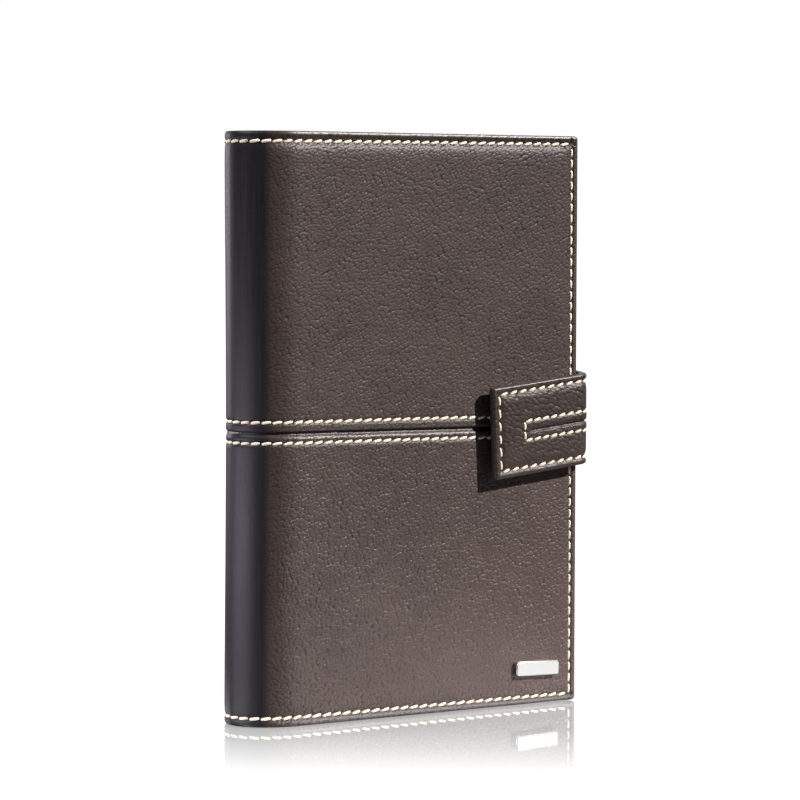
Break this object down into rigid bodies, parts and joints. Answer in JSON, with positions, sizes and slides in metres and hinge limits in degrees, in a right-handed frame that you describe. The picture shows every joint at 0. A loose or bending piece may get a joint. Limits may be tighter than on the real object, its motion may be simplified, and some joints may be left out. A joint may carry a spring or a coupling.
{
  "type": "hardcover notebook",
  "caption": "Closed hardcover notebook with padded stitched leather covers, rounded spine, sewn pages and a magnetic clasp strap.",
  "frame": {"origin": "middle of the footprint, on the surface that the tail edge stands on", "axes": "+Z from tail to head, -Y out of the front cover, +X towards the fore edge"},
  "size_m": [0.1446, 0.0396, 0.21],
  "materials": {
    "cover_leather": "fine pebble grain, cream topstitching",
    "spine_leather": "fine pebble grain, cream topstitching",
    "strap_leather": "smooth pebble grain, cream topstitching",
    "foam_padding": "open foam",
    "greyboard": "plain board",
    "lining_paper": "plain lining paper",
    "page_paper": "uncoated cream paper",
    "binding_cloth": "woven cotton",
    "magnet_steel": "nickel plated",
    "plate_metal": "satin, bare"
  },
  "bodies": {
    "book_block": {"spine_leather_upper": "spine_leather", "spine_leather_lower": "spine_leather", "spine_seam_strip": "spine_leather", "spine_board": "greyboard", "spine_cloth": "binding_cloth", "head_band": "binding_cloth", "tail_band": "binding_cloth", "section_3": "page_paper", "section_4": "page_paper", "section_1_fold": "page_paper", "section_2_fold": "page_paper", "section_5_fold": "page_paper", "section_6_fold": "page_paper", "front_flyleaf_gutter": "page_paper", "back_flyleaf_gutter": "page_paper", "front_joint_leather_upper": "cover_leather", "front_joint_leather_lower": "cover_leather", "back_joint_leather_upper": "cover_leather", "back_joint_leather_lower": "cover_leather"},
    "front_cover": {"front_leather_upper": "cover_leather", "front_leather_lower": "cover_leather", "front_padding_upper": "foam_padding", "front_padding_lower": "foam_padding", "front_seam_strip": "cover_leather", "front_board": "greyboard", "front_lining": "lining_paper", "catch_magnet": "magnet_steel", "corner_plate": "plate_metal"},
    "front_flyleaf": {"front_flyleaf": "page_paper"},
    "front_leaves": {"section_1": "page_paper", "section_2": "page_paper"},
    "back_cover": {"back_leather_upper": "cover_leather", "back_leather_lower": "cover_leather", "back_padding_upper": "foam_padding", "back_padding_lower": "foam_padding", "back_seam_strip": "cover_leather", "back_board": "greyboard", "back_lining": "lining_paper", "strap_anchor": "strap_leather", "strap_back_bend": "strap_leather"},
    "back_flyleaf": {"back_flyleaf": "page_paper"},
    "back_leaves": {"section_5": "page_paper", "section_6": "page_paper"},
    "strap_bridge": {"strap_bridge": "strap_leather", "strap_front_bend": "strap_leather"},
    "strap_flap": {"flap_leather": "strap_leather", "flap_core": "greyboard", "flap_lining": "strap_leather", "flap_magnet": "magnet_steel"}
  },
  "joints": [
    {"name": "front_cover_hinge", "type": "hinge", "parent": "book_block", "child": "front_cover", "pos_m": [-0.05325, -0.01465, 0.105], "axis": [0, 0, -1], "range_deg": [0, 175], "deforming": ["front_joint_leather_upper", "front_joint_leather_lower"]},
    {"name": "front_flyleaf_turn", "type": "hinge", "parent": "book_block", "child": "front_flyleaf", "pos_m": [-0.05325, -0.01465, 0.105], "axis": [0, 0, -1], "range_deg": [0, 170], "deforming": ["front_flyleaf_gutter"]},
    {"name": "front_leaves_turn", "type": "hinge", "parent": "book_block", "child": "front_leaves", "pos_m": [-0.05325, -0.01465, 0.105], "axis": [0, 0, -1], "range_deg": [0, 163], "deforming": ["section_1_fold", "section_2_fold"]},
    {"name": "back_cover_hinge", "type": "hinge", "parent": "book_block", "child": "back_cover", "pos_m": [-0.05325, 0.01695, 0.105], "axis": [0, 0, 1], "range_deg": [0, 175], "deforming": ["back_joint_leather_upper", "back_joint_leather_lower"]},
    {"name": "back_flyleaf_turn", "type": "hinge", "parent": "book_block", "child": "back_flyleaf", "pos_m": [-0.05325, 0.01695, 0.105], "axis": [0, 0, 1], "range_deg": [0, 173], "deforming": ["back_flyleaf_gutter"]},
    {"name": "back_leaves_turn", "type": "hinge", "parent": "book_block", "child": "back_leaves", "pos_m": [-0.05325, 0.01695, 0.105], "axis": [0, 0, 1], "range_deg": [0, 168.5], "deforming": ["section_5_fold", "section_6_fold"]},
    {"name": "strap_bridge_hinge", "type": "hinge", "parent": "back_cover", "child": "strap_bridge", "pos_m": [0.06991, 0.01741, 0.1055], "axis": [0, 0, 1], "range_deg": [0, 110], "deforming": ["strap_back_bend"]},
    {"name": "strap_flap_hinge", "type": "hinge", "parent": "strap_bridge", "child": "strap_flap", "pos_m": [0.06991, -0.01741, 0.1055], "axis": [0, 0, 1], "range_deg": [0, 95], "deforming": ["strap_front_bend"]}
  ],
  "couplings": [
    {"joint": "front_flyleaf_turn", "follows": "front_cover_hinge", "ratio": 0.97},
    {"joint": "front_leaves_turn", "follows": "front_cover_hinge", "ratio": 0.93},
    {"joint": "back_flyleaf_turn", "follows": "back_cover_hinge", "ratio": 0.985},
    {"joint": "back_leaves_turn", "follows": "back_cover_hinge", "ratio": 0.96}
  ]
}
